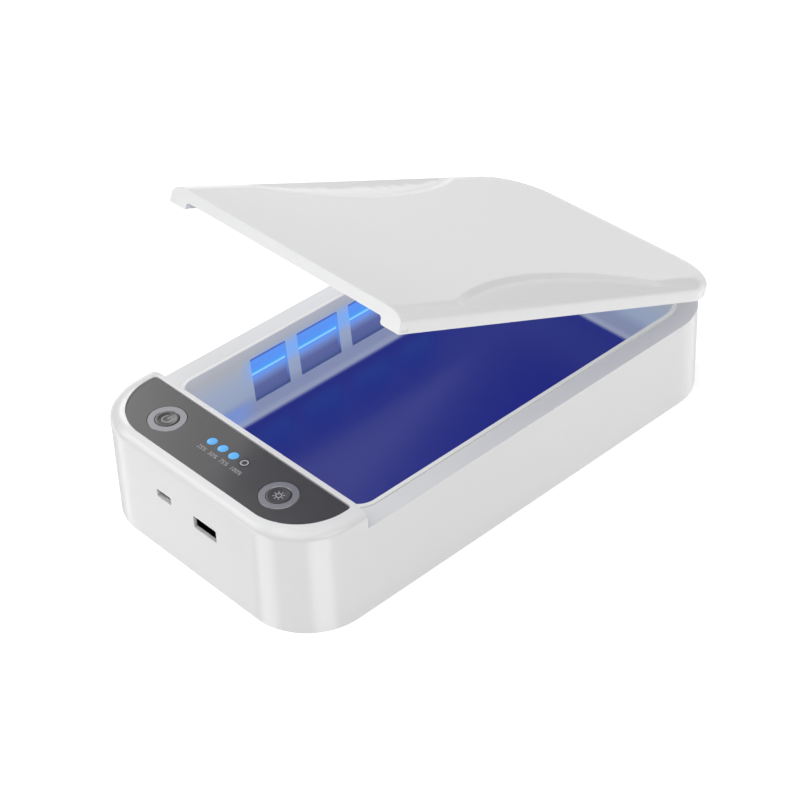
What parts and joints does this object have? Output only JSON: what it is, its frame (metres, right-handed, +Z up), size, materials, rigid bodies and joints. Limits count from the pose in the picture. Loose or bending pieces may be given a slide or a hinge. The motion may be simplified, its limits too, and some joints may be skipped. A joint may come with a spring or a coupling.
{
  "type": "uv sanitizer box",
  "caption": "White UV sanitizer box for phones: hinged lid held part open over a tub with blue lamps behind side windows, and a control deck with ring buttons and status lights",
  "frame": {"origin": "centre of the box's plan, on the plane of the bottom rim that it rests on", "axes": "+Z up, -Y towards the front with the sockets and the control deck, +Y towards the hinge, +X to the right seen from the front"},
  "size_m": [0.121, 0.2276, 0.1171],
  "materials": {
    "white_shell": "glossy moulded white ABS",
    "underside_plastic": "fine matt moulded ABS",
    "tub_plastic": "glossy moulded pale ABS that reflects the lamps",
    "panel_acrylic": "polished smoke-grey acrylic",
    "button_ring_metal": "satin ring",
    "button_cap_plastic": "polished smoke-grey acrylic",
    "black_plastic": "fine matt moulding",
    "plug_plastic": "natural nylon",
    "light_lit": "clear light guide, lit light blue",
    "light_unlit": "clear light guide, not lit",
    "chip_plastic": "pale chip",
    "board": "green circuit board",
    "reed_glass": "glass tube",
    "steel": "plain bright steel",
    "winding": "taped winding",
    "lamp_glass": "glass tube glowing blue-violet",
    "reflector_metal": "bright polished sheet",
    "boot_rubber": "matt pale silicone rubber",
    "wire_cover": "silicone wire cover",
    "pad_rubber": "matt dark rubber",
    "magnet": "nickel plated",
    "sleeve_plastic": "slippery natural acetal"
  },
  "bodies": {
    "base": {"base_shell": "white_shell", "bottom_cover": "underside_plastic", "tub_liner": "tub_plastic", "control_panel": "panel_acrylic", "button_ring_left": "button_ring_metal", "button_ring_right": "button_ring_metal", "button_switch_left": "black_plastic", "button_switch_right": "black_plastic", "light_lens_1": "light_lit", "light_lens_2": "light_lit", "light_lens_3": "light_lit", "light_lens_4": "light_unlit", "status_chips": "chip_plastic", "main_board": "board", "lid_sensor": "reed_glass", "output_socket": "steel", "output_tongue": "black_plastic", "charge_socket": "steel", "charge_tongue": "black_plastic", "driver_board": "board", "driver_transformer": "winding", "driver_plug_left": "plug_plastic", "driver_plug_right": "plug_plastic", "lamp_tube_left": "lamp_glass", "lamp_tube_right": "lamp_glass", "reflector_left": "reflector_metal", "reflector_right": "reflector_metal", "lamp_boot_front_left": "boot_rubber", "lamp_boot_front_right": "boot_rubber", "lamp_boot_rear_left": "boot_rubber", "lamp_boot_rear_right": "boot_rubber", "lamp_leads_left": "wire_cover", "lamp_leads_right": "wire_cover", "foot_pad_front_left": "pad_rubber", "foot_pad_front_right": "pad_rubber", "foot_pad_rear_left": "pad_rubber", "foot_pad_rear_right": "pad_rubber", "cover_screws": "steel", "board_screws": "steel", "driver_screws": "steel", "base_magnet_left": "magnet", "base_magnet_right": "magnet", "hinge_pin_left": "steel", "hinge_pin_right": "steel"},
    "lid": {"lid_shell": "white_shell", "lid_liner": "tub_plastic", "lid_magnet_left": "magnet", "lid_magnet_right": "magnet", "hinge_sleeve_left": "sleeve_plastic", "hinge_sleeve_right": "sleeve_plastic"},
    "button_left": {"button_cap_left": "button_cap_plastic", "switch_plunger_left": "plug_plastic"},
    "button_right": {"button_cap_right": "button_cap_plastic", "switch_plunger_right": "plug_plastic"}
  },
  "joints": [
    {"name": "lid_hinge", "type": "hinge", "parent": "base", "child": "lid", "pos_m": [0, 0.1107, 0.0312], "axis": [-1, 0, 0], "range_deg": [-22.6, 72.4]},
    {"name": "button_left_press", "type": "slide", "parent": "base", "child": "button_left", "axis": [0, 0, -1], "range_m": [0, 0.0005], "stiffness_N_per_m": 300},
    {"name": "button_right_press", "type": "slide", "parent": "base", "child": "button_right", "axis": [0, 0, -1], "range_m": [0, 0.0005], "stiffness_N_per_m": 300}
  ]
}
